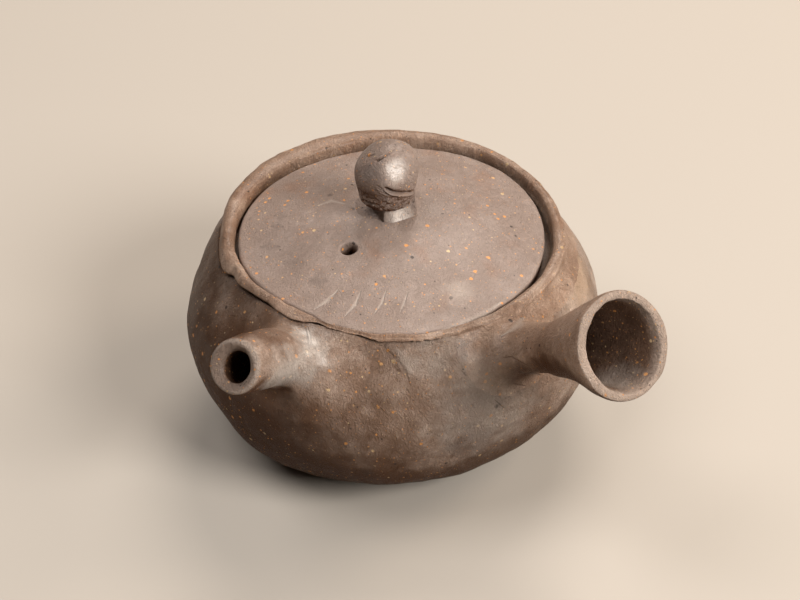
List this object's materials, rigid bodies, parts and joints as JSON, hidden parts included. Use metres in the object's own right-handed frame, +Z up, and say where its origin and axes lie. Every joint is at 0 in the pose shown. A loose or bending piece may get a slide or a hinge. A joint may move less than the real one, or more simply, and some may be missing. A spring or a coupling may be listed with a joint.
{
  "type": "kyusu teapot",
  "caption": "Hand-built unglazed side-handle teapot with a lift-off lid, a short spout, a hollow flared handle and a pierced clay strainer.",
  "frame": {"origin": "centre of the flat foot, on the table", "axes": "+Z up; the spout points along -X, the way the tea pours; the handle is 73 degrees round from it, mostly along -Y, towards the user"},
  "size_m": [0.1212, 0.1332, 0.0782],
  "materials": {
    "body_clay": "unglazed grey-brown stoneware with orange grog, a low sheen",
    "handle_clay": "unglazed grey-brown stoneware, wiped smooth outside and rough inside",
    "lid_clay": "unglazed stoneware, dry and a little paler than the body"
  },
  "bodies": {
    "pot": {"base_slab": "body_clay", "body_wall": "body_clay", "rim_coil": "body_clay", "lid_seat": "body_clay", "spout": "body_clay", "strainer": "body_clay", "handle": "handle_clay"},
    "lid": {"lid_plate": "lid_clay", "lid_flange": "lid_clay", "knob_neck": "lid_clay", "knob_head": "lid_clay"}
  },
  "joints": [
    {"name": "lid_lift", "type": "slide", "parent": "pot", "child": "lid", "axis": [0, 0, 1], "range_m": [0, 0.05]}
  ]
}
